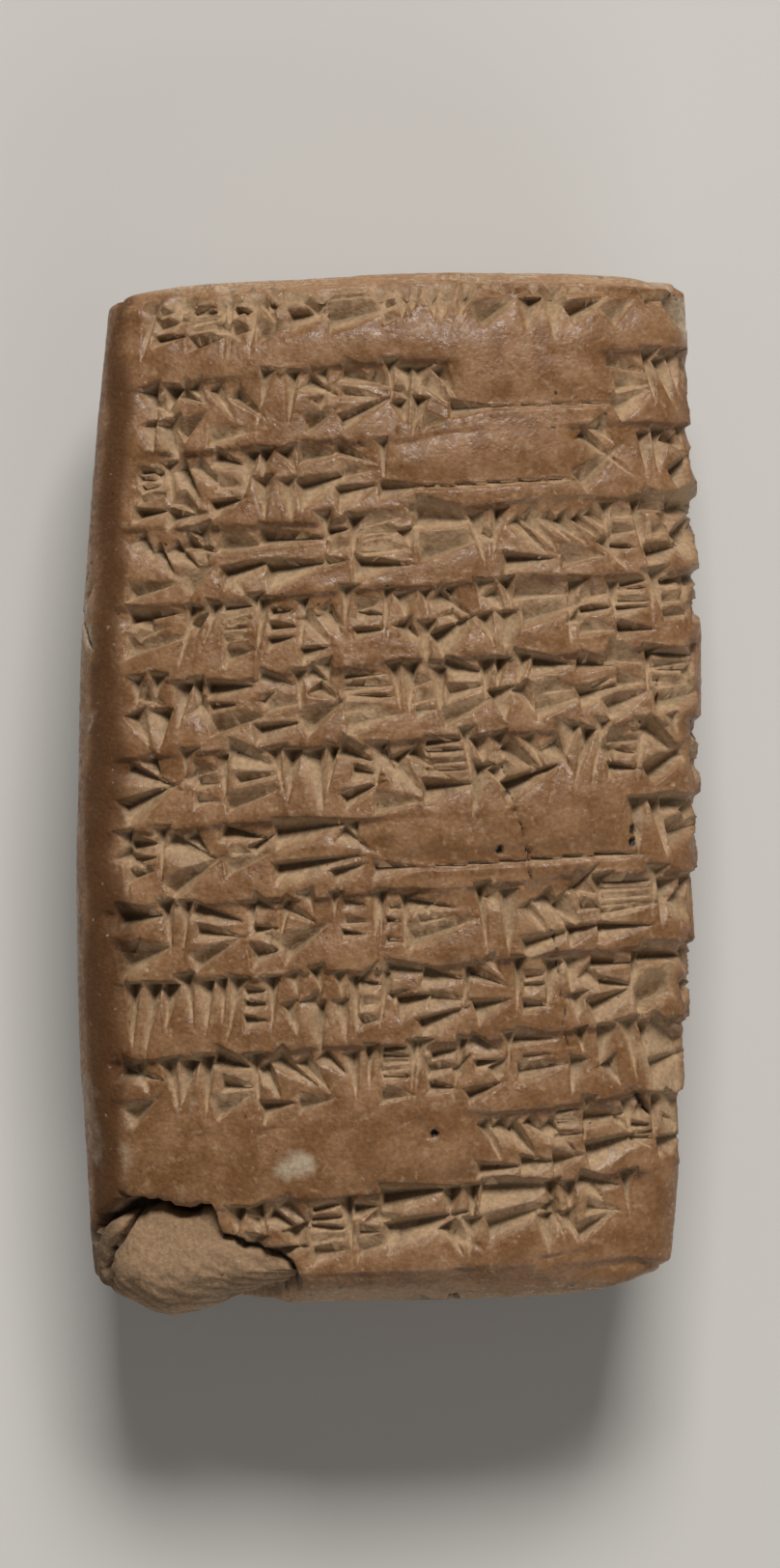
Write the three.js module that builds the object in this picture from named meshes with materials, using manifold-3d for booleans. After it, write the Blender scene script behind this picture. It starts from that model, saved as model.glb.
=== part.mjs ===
// A small clay tablet, written on both faces with rows of wedge-shaped strokes.
//
// Millimetres. The tablet lies with its obverse up: +X is the right side of the obverse, +Y is its
// upper end, +Z points out of its face. The origin is the middle of the flat spot that it rests on.
// Both faces are crowned, the reverse more than the obverse, so the spot is small.
// The strokes only stand for writing: they are drawn by chance and spell nothing.

import * as THREE from 'three';
import { ConvexGeometry } from 'three/addons/geometries/ConvexGeometry.js';
import { mergeVertices } from 'three/addons/utils/BufferGeometryUtils.js';
import Module from 'manifold-3d';

// ---- Driving dimensions ----

const WIDTH = 31.4;
const LENGTH = 51.0;
const SIDE_HEIGHT = 9.0; // height of the left and right edges, their rounding included
const CORNER = new THREE.Vector3(2.3, 1.3, 2.0); // how far the rounding reaches along X, Y and Z
const SQUARENESS = 4; // of the four upright corners, seen from above: 2 is a quarter circle

const OBVERSE_CROWN = 2.7; // rise of the obverse from its sides to its middle
const REVERSE_CROWN = 4.1;
const OBVERSE_FALL = 1.7; // fall of the obverse from its middle to the two ends
const REVERSE_FALL = 3.4;
const CROWN_POWER = 2.2;
const FALL_POWER = 2.0;

const SIDE_BOW = 1.2; // how far the long sides draw in at the ends
const END_BOW = 0.4; // how far the ends draw in at the sides
const LEAN = 0.4; // sideways shift of each end: the tablet isn't quite square
const SKEW = 0.45; // lengthwise shift of each side

const REST_DEPTH = 0.3; // clay flattened off the belly of the reverse
const REST_KEPT_CLEAR = 2.6; // no stroke comes nearer to the middle of the resting spot

// The outer skin has come off the lower left corner of the obverse, down to a slanting plane, and
// bares the core, which swells out at the lower end.
const SKIN_DEPTH = 0.8;
const BREAK_PLACE = new THREE.Vector3(-14.5, -20.6, 11.6);
const BREAK_OUTWARD = new THREE.Vector3(-0.26, -0.707, 0.655).normalize();
const BREAK_RIGHT = -4.3; // the break stops here, from the middle line
const BREAK_STEP = -8.7; // right of this less is lost, by BREAK_STEP_RISE
const BREAK_STEP_RISE = 0.75;
const CORE_PLACE = new THREE.Vector3(-10.4, -23.6, 10.2);
const CORE_RADII = new THREE.Vector3(4.6, 2.8, 3.0);

const ROW_PITCH = 3.8;
const ROW_HEIGHT = 3.4;
const ROW_RISE = 0.04; // how much a row climbs for each millimetre to the right
const TOP_ROW = 23.5; // height of the first row of the obverse, from the middle of the tablet
const REVERSE_PITCH = 3.67;
const REVERSE_TOP_ROW = -23.2;
const MARGIN = -13.5; // where the rows start, from the middle line
const ROW_END = 19.0; // where they end, past the corner and part way down the right edge
const RULED_RUN = 1.6; // a long thin stroke is made of runs of this length

const SHORTEST_CUT = 1.3; // the solid has the larger strokes: these are too short for it
const CUT_SPACING = 1.7; // and of two whose middles are closer than this, only the larger

const CLAY_COLOUR = 0x86664a;
const CLAY_ROUGHNESS = 0.8;

const QUARTER_TURN = Math.PI / 2;
const HALF = new THREE.Vector3(WIDTH / 2, LENGTH / 2, SIDE_HEIGHT / 2);
const INNER = HALF.clone().sub(CORNER);
const RING_RADIUS = (CORNER.x + CORNER.z) / 2;
const END_RADIUS = (CORNER.y + CORNER.z) / 2;
const REST_LEVEL = HALF.z + REVERSE_CROWN - REST_DEPTH;

// ---- Manifold ----

const wasm = await Module();
wasm.setup();

function toSolid(geometry) {
  const bare = geometry.clone();
  bare.deleteAttribute('normal');
  bare.deleteAttribute('uv');
  const merged = mergeVertices(bare, 1e-5);
  return new wasm.Manifold(new wasm.Mesh({
    numProp: 3,
    vertProperties: new Float32Array(merged.attributes.position.array),
    triVerts: new Uint32Array(merged.index.array),
  }));
}

function toGeometry(solid) {
  const mesh = solid.getMesh();
  const geometry = new THREE.BufferGeometry();
  geometry.setAttribute('position', new THREE.BufferAttribute(mesh.vertProperties, 3));
  geometry.setIndex(new THREE.BufferAttribute(mesh.triVerts, 1));
  geometry.computeVertexNormals();
  return geometry;
}

// ---- The body ----

// Draws a point of the sharp block in to its rounded corners, less an inset all round.
function rounded(sharp, inset) {
  const inner = new THREE.Vector3(
    THREE.MathUtils.clamp(sharp.x, -INNER.x, INNER.x),
    THREE.MathUtils.clamp(sharp.y, -INNER.y, INNER.y),
    THREE.MathUtils.clamp(sharp.z, -INNER.z, INNER.z),
  );
  const out = sharp.clone().sub(inner);
  const across = Math.abs(out.x / CORNER.x) ** SQUARENESS;
  const along = Math.abs(out.y / CORNER.y) ** SQUARENESS;
  const level = (across + along) ** (1 / SQUARENESS);
  out.divideScalar(Math.hypot(level, out.z / CORNER.z));
  return inner.add(out.setLength(out.length() - inset));
}

// Turns a point of the plain rounded block into the same point of the crowned, bowed tablet.
function crown(point) {
  const across = point.x / HALF.x;
  const along = point.y / HALF.y;
  const upper = point.z > 0;
  const rise = upper ? OBVERSE_CROWN : REVERSE_CROWN;
  const fall = upper ? OBVERSE_FALL : REVERSE_FALL;
  const lift = rise * (1 - Math.abs(across) ** CROWN_POWER) - fall * Math.abs(along) ** FALL_POWER;
  return new THREE.Vector3(
    point.x * (1 - (SIDE_BOW / HALF.x) * along ** 2) + LEAN * along,
    point.y * (1 - (END_BOW / HALF.y) * across ** 2) + SKEW * across,
    point.z * (1 + lift / HALF.z) + REST_LEVEL,
  );
}

// Spreads a grid line, from -1 to 1, over half an axis: the outer steps turn the rounded corner.
function spread(unit, segments, inner, corner) {
  const cornerSteps = 2;
  const step = (Math.abs(unit) * segments) / 2;
  const flatSteps = segments / 2 - cornerSteps;
  if (step <= flatSteps) {
    return (Math.sign(unit) * inner * step) / flatSteps;
  }
  const turned = ((step - flatSteps) / cornerSteps) * (QUARTER_TURN / 2);
  return Math.sign(unit) * (inner + corner * Math.tan(turned));
}

function bodyGeometry(inset) {
  const columns = 12;
  const rows = 16;
  const layers = 6;
  const geometry = new THREE.BoxGeometry(2, 2, 2, columns, rows, layers);
  const position = geometry.attributes.position;
  for (let i = 0; i < position.count; i += 1) {
    const sharp = new THREE.Vector3(
      spread(position.getX(i), columns, INNER.x, CORNER.x),
      spread(position.getY(i), rows, INNER.y, CORNER.y),
      spread(position.getZ(i), layers, INNER.z, CORNER.z),
    );
    const crowned = crown(rounded(sharp, inset));
    position.setXYZ(i, crowned.x, crowned.y, crowned.z);
  }
  return geometry;
}

// ---- Places on the written band: obverse, right edge and reverse ----

// face is 1 on the obverse and -1 on the reverse. s runs along a row, to the right from the middle
// line and on over the corner; y is the height of the row.
function bandPoint(face, s, y) {
  const turned = (Math.abs(s) - INNER.x) / RING_RADIUS;
  const overEnd = (Math.abs(y) - INNER.y) / END_RADIUS;
  const tipped = THREE.MathUtils.clamp(overEnd, 0, QUARTER_TURN / 2);
  const reach = Math.min(Math.abs(y), INNER.y) + CORNER.y * Math.tan(tipped);
  const sharp = new THREE.Vector3(HALF.x, reach, HALF.z);
  if (turned <= 0) {
    sharp.x = Math.abs(s);
  } else if (turned < QUARTER_TURN / 2) {
    sharp.x = INNER.x + CORNER.x * Math.tan(turned);
  } else if (turned < QUARTER_TURN) {
    sharp.z = INNER.z + CORNER.z * Math.tan(QUARTER_TURN - turned);
  } else {
    sharp.z = INNER.z - RING_RADIUS * (turned - QUARTER_TURN);
  }
  sharp.x *= Math.sign(s);
  sharp.y *= Math.sign(y);
  sharp.z *= face;
  return crown(rounded(sharp, 0));
}

function bandNormal(face, s, y) {
  const step = 0.05;
  const alongRow = bandPoint(face, s + step, y).sub(bandPoint(face, s - step, y));
  const upColumn = bandPoint(face, s, y + step).sub(bandPoint(face, s, y - step));
  return alongRow.cross(upColumn).multiplyScalar(face).normalize();
}

// ---- The strokes, drawn by a fixed chance sequence ----

let chanceState = 4711;

function chance() {
  chanceState = (chanceState * 16807) % 2147483647;
  return chanceState / 2147483647;
}

function between(low, high) {
  return low + (high - low) * chance();
}

// A stroke is a three-sided pit: deepest at its head, rising along its tail. angle is in degrees,
// clockwise from the row's own direction.
function stroke(x, y, angle, length, width, depth) {
  return { x, y, angle, length, width, depth };
}

// Four or five thin bars, closed by an upright, over one long bar.
function combGroup(width) {
  const bars = 4 + Math.floor(between(0, 1.99));
  const pitch = (ROW_HEIGHT * 0.56) / bars;
  const strokes = [];
  for (let i = 0; i < bars; i += 1) {
    const y = -ROW_HEIGHT * 0.3 + pitch * i;
    const length = width * between(0.85, 1.0);
    strokes.push(stroke(between(0, 0.15), y, between(-5, 1), length, 0.66, 0.5));
  }
  strokes.push(stroke(width * 0.9, -ROW_HEIGHT * 0.4, between(86, 96), 2.9, 1.1, 0.75));
  strokes.push(stroke(between(0, 0.3), ROW_HEIGHT * 0.38, between(-6, 0), width, 1.3, 0.85));
  return strokes;
}

function uprightGroup(width) {
  const count = Math.max(2, Math.round(width / 1.05));
  const strokes = [];
  for (let i = 0; i < count; i += 1) {
    const x = (width * (i + 0.5)) / count;
    const y = -ROW_HEIGHT * between(0.3, 0.42);
    strokes.push(stroke(x, y, between(82, 100), between(2.2, 3.1), 1.2, 0.8));
  }
  return strokes;
}

function crossGroup(width) {
  const length = width * between(1.0, 1.15);
  return [
    stroke(between(0, 0.2), -ROW_HEIGHT * 0.3, between(20, 36), length, 1.35, 0.8),
    stroke(between(0, 0.2), ROW_HEIGHT * 0.34, between(-36, -20), length, 1.5, 0.95),
    stroke(width * 0.4, -ROW_HEIGHT * 0.42, between(40, 80), between(1.0, 1.6), 1.1, 0.6),
  ];
}

function barGroup(width) {
  const upper = -ROW_HEIGHT * between(0.24, 0.36);
  const lower = ROW_HEIGHT * between(0.12, 0.32);
  return [
    stroke(between(0, 0.2), upper, between(-6, 8), width * 0.9, 1.35, 0.8),
    stroke(between(0.3, 0.8), 0, between(-12, 4), width * 0.6, 0.9, 0.55),
    stroke(between(0.1, 0.5), lower, between(-14, -2), width, 1.5, 0.9),
  ];
}

// Short uprights in two rows.
function tierGroup(width) {
  const strokes = [];
  const columns = Math.max(1, Math.round(width / 1.15));
  for (let i = 0; i < columns; i += 1) {
    const x = (width * (i + 0.4)) / columns;
    const upper = between(1.4, 1.9);
    const lower = between(1.4, 2.2);
    strokes.push(stroke(x, -ROW_HEIGHT * 0.38, between(70, 100), upper, 1.25, 0.75));
    strokes.push(stroke(x, ROW_HEIGHT * 0.1, between(60, 100), lower, 1.3, 0.75));
  }
  return strokes;
}

function fanGroup(width) {
  return [
    stroke(0.1, -ROW_HEIGHT * 0.38, between(12, 26), width, 1.25, 0.8),
    stroke(between(0.2, 0.7), 0, between(-6, 8), width * 0.85, 1.0, 0.65),
    stroke(0.1, ROW_HEIGHT * 0.4, between(-26, -12), width, 1.35, 0.85),
    stroke(width * 0.9, -ROW_HEIGHT * 0.4, between(82, 98), between(2.2, 3.0), 1.2, 0.75),
  ];
}

function ladderGroup(width) {
  return [
    stroke(width * 0.12, -ROW_HEIGHT * 0.42, between(84, 96), 2.9, 1.2, 0.75),
    stroke(width * 0.3, -ROW_HEIGHT * 0.22, between(-8, 4), width * 0.6, 0.85, 0.6),
    stroke(width * 0.3, 0, between(-8, 4), width * 0.6, 0.85, 0.6),
    stroke(width * 0.3, ROW_HEIGHT * 0.24, between(-8, 4), width * 0.6, 0.95, 0.65),
    stroke(width * 0.88, -ROW_HEIGHT * 0.38, between(86, 98), 2.8, 1.25, 0.8),
  ];
}

// Wedges that lean one over the next.
function slantingGroup(width) {
  const count = Math.max(2, Math.round(width / 0.9));
  const strokes = [];
  for (let i = 0; i < count; i += 1) {
    const x = (width * (i + 0.2)) / count;
    const y = -ROW_HEIGHT * between(0.1, 0.34);
    strokes.push(stroke(x, y, between(38, 62), between(1.8, 2.5), 1.1, 0.75));
  }
  strokes.push(stroke(between(0, 0.3), ROW_HEIGHT * 0.42, between(-12, -2), width, 1.2, 0.75));
  return strokes;
}

// Two long wedges, one over the other, that reach on under the next sign.
function longGroup(width) {
  const upper = width * between(1.2, 1.5);
  const lower = width * between(1.3, 1.7);
  return [
    stroke(0, -ROW_HEIGHT * between(0.28, 0.4), between(-6, 6), upper, 1.6, 0.85),
    stroke(between(0.1, 0.4), ROW_HEIGHT * between(0.1, 0.3), between(-20, -8), lower, 1.8, 0.95),
  ];
}

const GROUPS = [
  combGroup,
  uprightGroup,
  crossGroup,
  barGroup,
  tierGroup,
  fanGroup,
  ladderGroup,
  slantingGroup,
  longGroup,
];

// Rows are named by what they hold: where the writing starts and ends, and a smooth stretch that
// one long thin stroke crosses. lift moves a row towards the rim before it. Rows not listed are
// full.
const OBVERSE_ROWS = {
  count: 13,
  0: { lift: 0.9 },
  1: { smooth: [3.0, 11.4] },
  2: { smooth: [-0.6, 9.6] },
  3: { end: 26.0 },
  4: { end: 27.0 },
  6: { end: 25.0 },
  7: { smooth: [-0.6, 12.0], end: 26.0 },
  8: { end: 27.0 },
  9: { end: 22.0 },
  10: { end: 25.5 },
  11: { start: 5.2, end: 23.0 },
  12: { start: -8.4, end: 14.8 },
};
const REVERSE_ROWS = {
  count: 14,
  0: { lift: 0.9 },
  1: { smooth: [-0.5, 10.6] },
  3: { smooth: [-12.4, -1.0] },
  6: { smooth: [1.0, 11.4] },
  7: { smooth: [3.4, 10.6] },
  13: { smooth: [-1.0, 12.6], end: 13.0 },
};

// A stroke as a hand makes it: no two are quite alike. keel is how far aside it is deepest, and
// slope how far its head's wall leans back.
function varied(mark) {
  return {
    x: mark.x + between(-0.08, 0.08),
    y: mark.y + between(-0.12, 0.12),
    angle: mark.angle + between(-6, 6),
    length: mark.length * between(0.9, 1.15),
    width: mark.width * between(0.75, 1.2),
    depth: mark.depth * between(0.75, 1.15),
    keel: between(-0.3, 0.3),
    slope: between(0.15, 0.6),
  };
}

// A short broad wedge set into a sign at a slant.
function cornerWedge(width) {
  const x = width * between(0.1, 0.8);
  const y = ROW_HEIGHT * between(-0.35, 0.25);
  const angle = between(30, 60) * (chance() < 0.7 ? 1 : -1);
  return stroke(x, y, angle, between(1.0, 1.7), between(1.1, 1.6), between(0.55, 0.8));
}

function fillStretch(place, from, to) {
  const strokes = [];
  let cursor = from;
  while (cursor < to - 1.2) {
    const width = Math.min(between(1.6, 3.1), to - cursor);
    const group = GROUPS[Math.floor(chance() * GROUPS.length)];
    const lift = between(-0.25, 0.25);
    const marks = chance() < 0.45 ? [cornerWedge(width)] : [];
    marks.push(...group(width));
    for (const mark of marks) {
      const changed = varied(mark);
      strokes.push({ ...changed, ...place(cursor + changed.x, changed.y + lift) });
    }
    cursor += width + between(-0.15, 0.15);
  }
  return strokes;
}

// One long thin stroke, which follows the clay in short runs.
function ruledStroke(place, from, to) {
  const strokes = [];
  let cursor = to;
  while (cursor > from + 0.6) {
    cursor = Math.max(cursor - RULED_RUN, from);
    const run = stroke(0, 0, -0.5, RULED_RUN * 1.7, 0.42, 0.3);
    strokes.push({ ...run, keel: 0.3, slope: 0.3, ...place(cursor, ROW_HEIGHT * 0.36) });
  }
  const head = stroke(0, 0, -2, 2.6, 1.2, 0.75);
  strokes.push({ ...head, keel: 0.1, slope: 0.3, ...place(from, ROW_HEIGHT * 0.34) });
  return strokes;
}

function faceStrokes(face, rows, pitch, firstRow) {
  const strokes = [];
  for (let row = 0; row < rows.count; row += 1) {
    const plan = rows[row] ?? {};
    const start = (plan.start ?? MARGIN) + between(-0.2, 0.3);
    const end = (plan.end ?? ROW_END) + between(-2.4, 0.6);
    const level = firstRow + face * ((plan.lift ?? 0) - pitch * row);
    const place = (s, down) => ({ face, s, y: level + ROW_RISE * s - face * down });
    if (plan.smooth) {
      const [from, to] = plan.smooth;
      strokes.push(...fillStretch(place, start, from));
      strokes.push(...ruledStroke(place, from, to));
      strokes.push(...fillStretch(place, to, end));
    } else {
      strokes.push(...fillStretch(place, start, end));
    }
  }
  return strokes;
}

function allStrokes() {
  return [
    ...faceStrokes(1, OBVERSE_ROWS, ROW_PITCH, TOP_ROW),
    ...faceStrokes(-1, REVERSE_ROWS, REVERSE_PITCH, REVERSE_TOP_ROW),
  ];
}

// ---- Cutting ----

// The place that lies right of a stroke's head by ahead and left of it by aside.
function strokePlace(mark, ahead, aside) {
  const angle = THREE.MathUtils.degToRad(mark.angle);
  const right = ahead * Math.cos(angle) + aside * Math.sin(angle);
  const down = ahead * Math.sin(angle) - aside * Math.cos(angle);
  return bandPoint(mark.face, mark.s + right, mark.y - mark.face * down);
}

function strokeCutter(mark) {
  const overshoot = 1.4; // the cutter stands out of the clay by this share of its depth
  const behind = -mark.slope * mark.depth;
  const normal = bandNormal(mark.face, mark.s, mark.y);
  const deepest = strokePlace(mark, 0, mark.keel * mark.width);
  deepest.addScaledVector(normal, -mark.depth);
  const corners = [
    strokePlace(mark, mark.length, 0),
    strokePlace(mark, behind, mark.width / 2),
    strokePlace(mark, behind, -mark.width / 2),
  ].map((corner) => corner.sub(deepest).multiplyScalar(overshoot).add(deepest));
  return toSolid(new ConvexGeometry([deepest, ...corners]));
}

function isCut(mark) {
  const onEnd = Math.abs(mark.y) > INNER.y + CORNER.y / 2;
  const towardsRest = Math.hypot(mark.s, mark.y) < REST_KEPT_CLEAR + mark.length;
  return mark.length >= SHORTEST_CUT && !onEnd && !(mark.face < 0 && towardsRest);
}

// The largest strokes that leave each other room.
function cutStrokes() {
  const volume = (mark) => mark.length * mark.width * mark.depth;
  const largestFirst = allStrokes().filter(isCut).sort((a, b) => volume(b) - volume(a));
  const kept = [];
  for (const mark of largestFirst) {
    const middle = strokePlace(mark, mark.length / 2, 0);
    if (kept.every((other) => other.middle.distanceTo(middle) > CUT_SPACING)) {
      kept.push({ ...mark, middle });
    }
  }
  return kept;
}

function block(width, length, height, x, y, z) {
  const geometry = new THREE.BoxGeometry(width, length, height);
  geometry.translate(x, y, z);
  return toSolid(geometry);
}

// What lies outside the break's plane, moved out by rise, as far right as a limit.
function beyondPlane(rise, limit) {
  const size = LENGTH;
  const geometry = new THREE.BoxGeometry(size, size, size);
  const turn = new THREE.Quaternion();
  turn.setFromUnitVectors(new THREE.Vector3(0, 0, 1), BREAK_OUTWARD);
  geometry.applyQuaternion(turn);
  const middle = BREAK_PLACE.clone().addScaledVector(BREAK_OUTWARD, rise + size / 2);
  geometry.translate(middle.x, middle.y, middle.z);
  const right = block(size, 2 * size, 2 * size, limit + size / 2, 0, 0);
  return toSolid(geometry).subtract(right);
}

function beyondBreak() {
  return beyondPlane(0, BREAK_STEP).add(beyondPlane(BREAK_STEP_RISE, BREAK_RIGHT));
}

// The core: the body without its skin, and the lump that swells out to the lower end.
function core() {
  const lump = new THREE.SphereGeometry(1, 14, 9);
  lump.scale(CORE_RADII.x, CORE_RADII.y, CORE_RADII.z);
  lump.translate(CORE_PLACE.x, CORE_PLACE.y, CORE_PLACE.z);
  return toSolid(bodyGeometry(SKIN_DEPTH)).add(toSolid(lump));
}

function tabletGeometry() {
  const belly = block(WIDTH, LENGTH, SIDE_HEIGHT, 0, 0, -SIDE_HEIGHT / 2);
  let solid = toSolid(bodyGeometry(0)).subtract(belly);
  for (const mark of cutStrokes()) {
    solid = solid.subtract(strokeCutter(mark));
  }
  solid = solid.subtract(beyondBreak().subtract(core()));
  return toGeometry(solid);
}

const clay = new THREE.MeshStandardMaterial({
  color: CLAY_COLOUR,
  roughness: CLAY_ROUGHNESS,
  metalness: 0,
});

const tablet = new THREE.Mesh(tabletGeometry(), clay);
tablet.name = 'tablet';

const group = new THREE.Group();
group.add(tablet);

export default group;
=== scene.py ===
"""A small brown clay tablet, written on both faces, lying on a pale floor with its obverse up.

The tablet is one closed mesh. It starts as a rounded block with crowned faces, on a grid finer than a
tenth of a millimetre. The strokes are pressed into it one after another, the broken corner, cracks and
chips are cut, and it is then thinned to a mesh that keeps the sharp edges. What each part of the skin
went through, and where shade is painted on it, is kept in attributes, which the clay's material reads:
pressed, hollow, tone, broken, dark, pale and prints. The tone also holds painted shade on the
obverse's left margin, the hollows are painted with shade, and dark also holds painted shadow in the
break's gap.

The strokes only stand for writing: they are drawn by chance and spell nothing.
Lengths are in millimetres until the mesh is made.
"""

import math

import bpy
import numpy as np
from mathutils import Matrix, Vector, kdtree


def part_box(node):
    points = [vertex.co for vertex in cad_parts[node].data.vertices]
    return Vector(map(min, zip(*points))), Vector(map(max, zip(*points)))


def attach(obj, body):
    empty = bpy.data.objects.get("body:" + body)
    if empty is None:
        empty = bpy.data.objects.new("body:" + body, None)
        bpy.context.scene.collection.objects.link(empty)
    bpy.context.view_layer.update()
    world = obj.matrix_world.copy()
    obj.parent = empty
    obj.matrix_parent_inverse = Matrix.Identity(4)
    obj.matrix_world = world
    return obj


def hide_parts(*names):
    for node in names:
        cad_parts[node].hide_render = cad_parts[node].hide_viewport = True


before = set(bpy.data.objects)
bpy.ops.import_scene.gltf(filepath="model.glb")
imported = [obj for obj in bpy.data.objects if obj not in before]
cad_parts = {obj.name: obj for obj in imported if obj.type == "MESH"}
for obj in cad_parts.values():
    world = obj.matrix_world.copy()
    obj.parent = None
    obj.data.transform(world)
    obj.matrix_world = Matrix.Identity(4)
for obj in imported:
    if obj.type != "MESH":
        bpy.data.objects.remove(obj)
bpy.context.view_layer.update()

MM = 0.001

# ---- The body's sizes ----

BOX_LOW = np.array(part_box("tablet")[0]) / MM
BOX_HIGH = np.array(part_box("tablet")[1]) / MM
BOX_SIZE = BOX_HIGH - BOX_LOW

CORNER = np.array([2.3, 1.3, 2.0])  # how far a corner's rounding reaches along X, Y and Z
SQUARENESS = 4.0  # of the four upright corners, seen from above: 2 is a quarter circle
OBVERSE_CROWN = 2.7  # how far a face's middle stands over its long edges
REVERSE_CROWN = 4.1
OBVERSE_FALL = 1.7  # how far a face falls from its middle to the ends
REVERSE_FALL = 3.4
CROWN_POWER = 2.2  # 2 is a parabola, and more is flatter in the middle
FALL_POWER = 2.0
SIDE_BOW = 1.2  # how far the long sides bow outwards, and the ends
END_BOW = 0.4
LEAN = 0.4  # how far the ends are shifted sideways, and the long sides lengthways
SKEW = 0.45
REST_DEPTH = 0.3  # what the flat spot takes off the reverse

HALF_SIDE = (BOX_SIZE[2] + REST_DEPTH - OBVERSE_CROWN - REVERSE_CROWN) / 2
HALF = np.array([BOX_SIZE[0] / 2, BOX_SIZE[1] / 2, HALF_SIDE])
INNER = HALF - CORNER
REST_LEVEL = HALF_SIDE + REVERSE_CROWN - REST_DEPTH
RING_RADIUS = (CORNER[0] + CORNER[2]) / 2
END_RADIUS = (CORNER[1] + CORNER[2]) / 2
QUARTER_TURN = math.pi / 2

# ---- The grid ----

SPACING = 0.08
SLACK = 1.1  # how much wider windows are, as grid lines are closer on the arcs
KEPT_TRIANGLES = 192000


def axis_lines(axis):
    """The grid lines along one axis: even steps, with the corners turned in arcs."""
    flat_steps = 2 * round(INNER[axis] / SPACING)
    arc_steps = round(CORNER[axis] * QUARTER_TURN / 2 / SPACING)
    flat = np.linspace(-INNER[axis], INNER[axis], flat_steps + 1)
    turned = np.linspace(0, QUARTER_TURN / 2, arc_steps + 1)[1:]
    arc = INNER[axis] + CORNER[axis] * np.tan(turned)
    return np.concatenate([-arc[::-1], flat, arc])


def arc_length(line, axis, radius):
    """The length over the rounded block, from its middle, of a grid line."""
    reach = np.abs(line)
    turned = np.arctan(np.maximum(reach - INNER[axis], 0) / CORNER[axis])
    return np.sign(line) * (np.minimum(reach, INNER[axis]) + radius * turned)


def rounded(points):
    """The points of a sharp block, drawn in to its rounded corners."""
    inner = np.clip(points, -INNER, INNER)
    out = np.abs(points - inner) / CORNER
    level = (out[:, 0] ** SQUARENESS + out[:, 1] ** SQUARENESS) ** (1 / SQUARENESS)
    length = np.hypot(level, out[:, 2])
    return inner + (points - inner) / length[:, None]


def crowned(points):
    """The points of the plain rounded block, moved to where they lie on the tablet."""
    across = points[:, 0] / HALF[0]
    along = points[:, 1] / HALF[1]
    upper = points[:, 2] > 0
    rise = np.where(upper, OBVERSE_CROWN, REVERSE_CROWN)
    fall = np.where(upper, OBVERSE_FALL, REVERSE_FALL)
    lift = rise * (1 - np.abs(across) ** CROWN_POWER) - fall * np.abs(along) ** FALL_POWER
    moved = np.empty_like(points)
    moved[:, 0] = points[:, 0] * (1 - SIDE_BOW / HALF[0] * along**2) + LEAN * along
    moved[:, 1] = points[:, 1] * (1 - END_BOW / HALF[1] * across**2) + SKEW * across
    moved[:, 2] = points[:, 2] * (1 + lift / HALF_SIDE) + REST_LEVEL
    return moved


def lattice(*lines):
    """The points of a lattice, the last of its lines running fastest."""
    return np.stack(np.meshgrid(*lines, indexing="ij"), axis=-1).reshape(-1, 3)


def squares(grid):
    """The corners of the squares between a grid's points."""
    corners = [grid[:-1, :-1], grid[1:, :-1], grid[1:, 1:], grid[:-1, 1:]]
    return np.stack(corners, axis=-1).reshape(-1, 4)


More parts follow.
